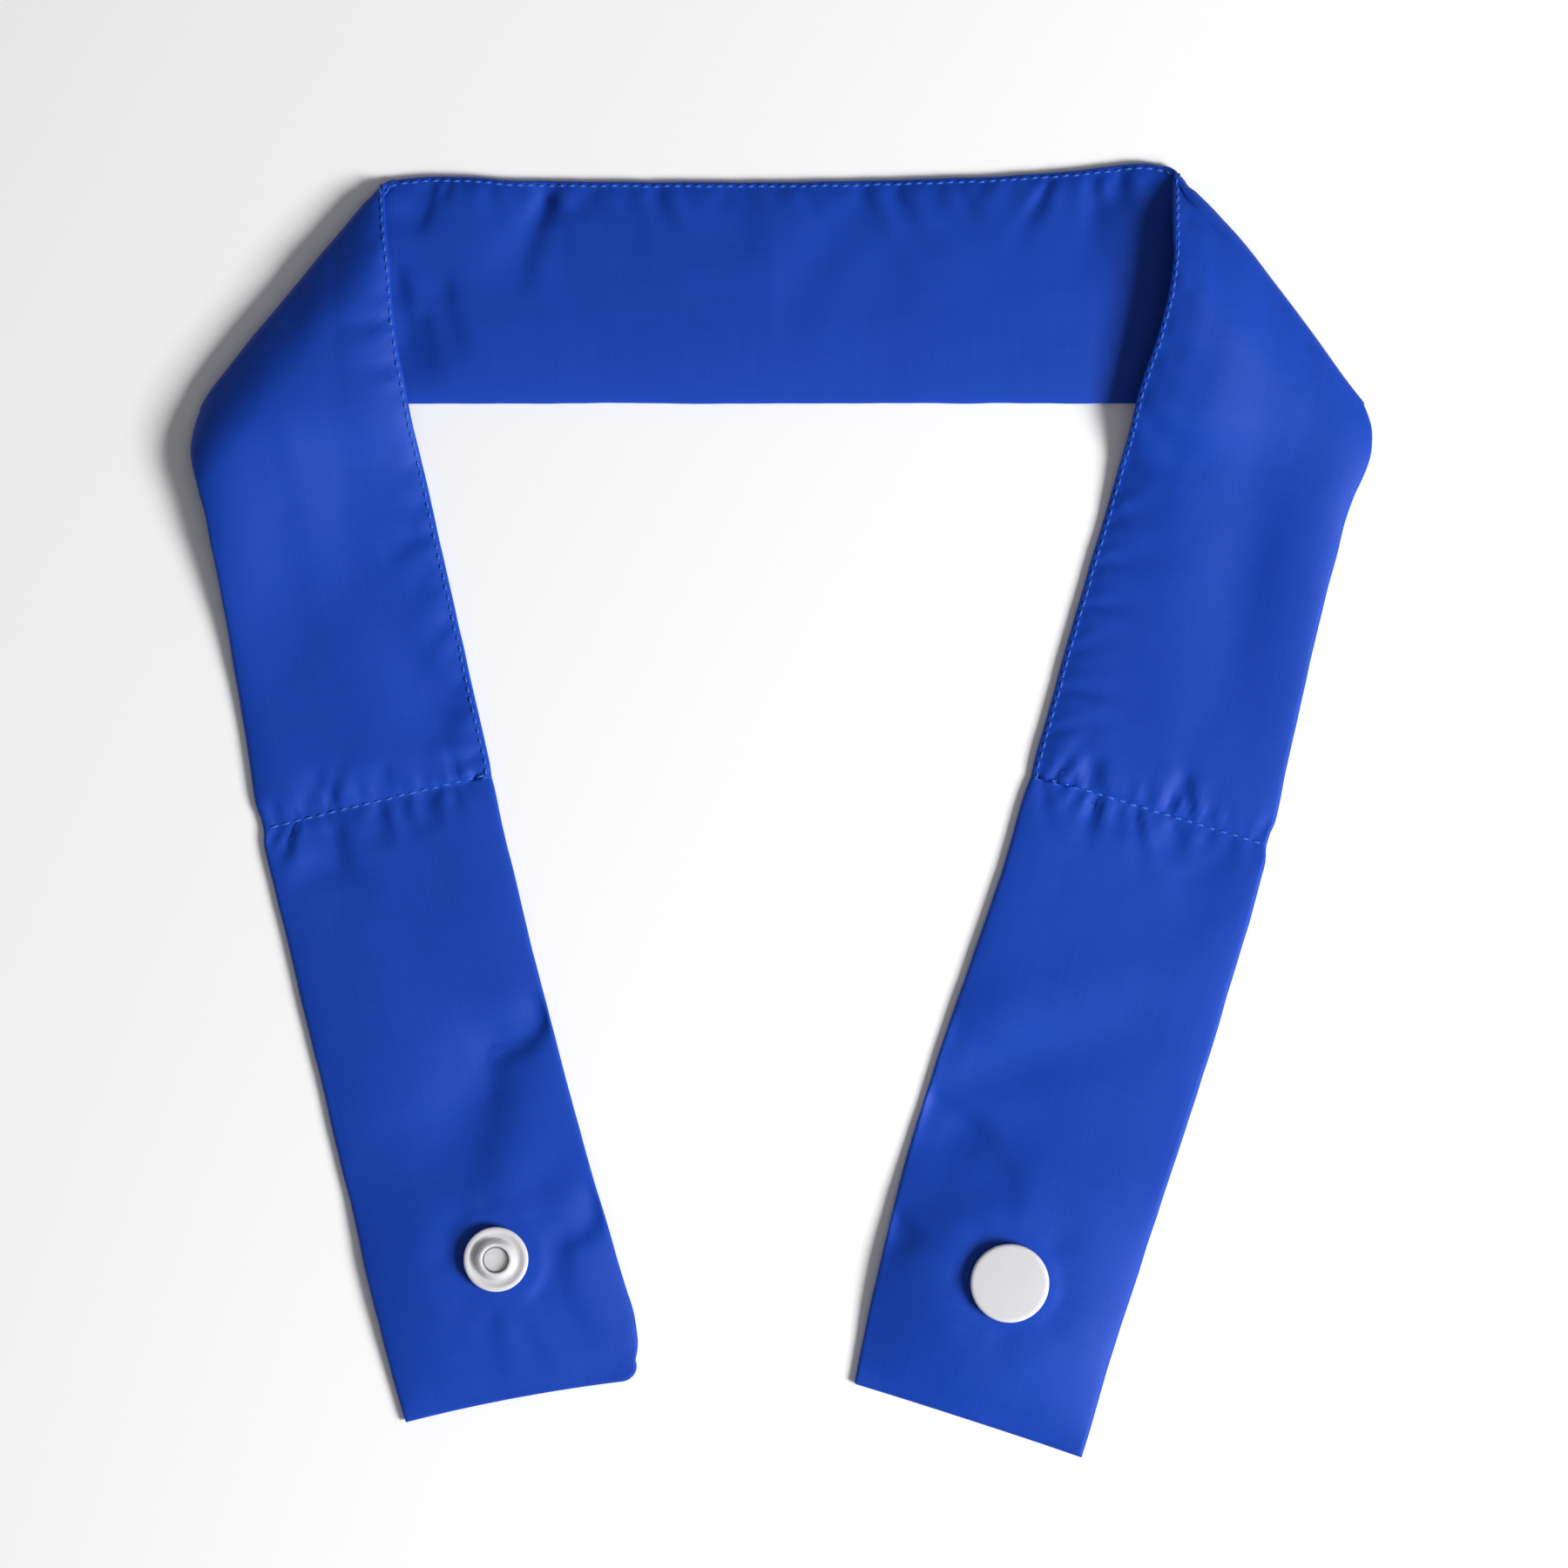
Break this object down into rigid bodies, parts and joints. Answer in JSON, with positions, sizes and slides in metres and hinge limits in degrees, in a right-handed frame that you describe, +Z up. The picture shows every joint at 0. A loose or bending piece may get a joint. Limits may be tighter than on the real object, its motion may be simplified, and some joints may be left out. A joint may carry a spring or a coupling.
{
  "type": "cooling neck wrap",
  "caption": "Flat tube of woven cloth folded over at both ends of its back section, with converging arms, plain tabs and a plastic press snap.",
  "frame": {"origin": "below the middle of the outline, on the surface that the wrap lies on", "axes": "+X along the back section towards the tab with the cap facing up, +Y from the tabs to the back section, +Z up from the surface"},
  "size_m": [0.1864, 0.2042, 0.0091],
  "materials": {
    "cloth": "plain woven, slightly lustrous",
    "snap": "smooth white, slightly glossy"
  },
  "bodies": {
    "root": {"band": "cloth", "left_socket": "snap", "left_cap": "snap", "right_cap": "snap", "right_stud": "snap"}
  },
  "joints": []
}
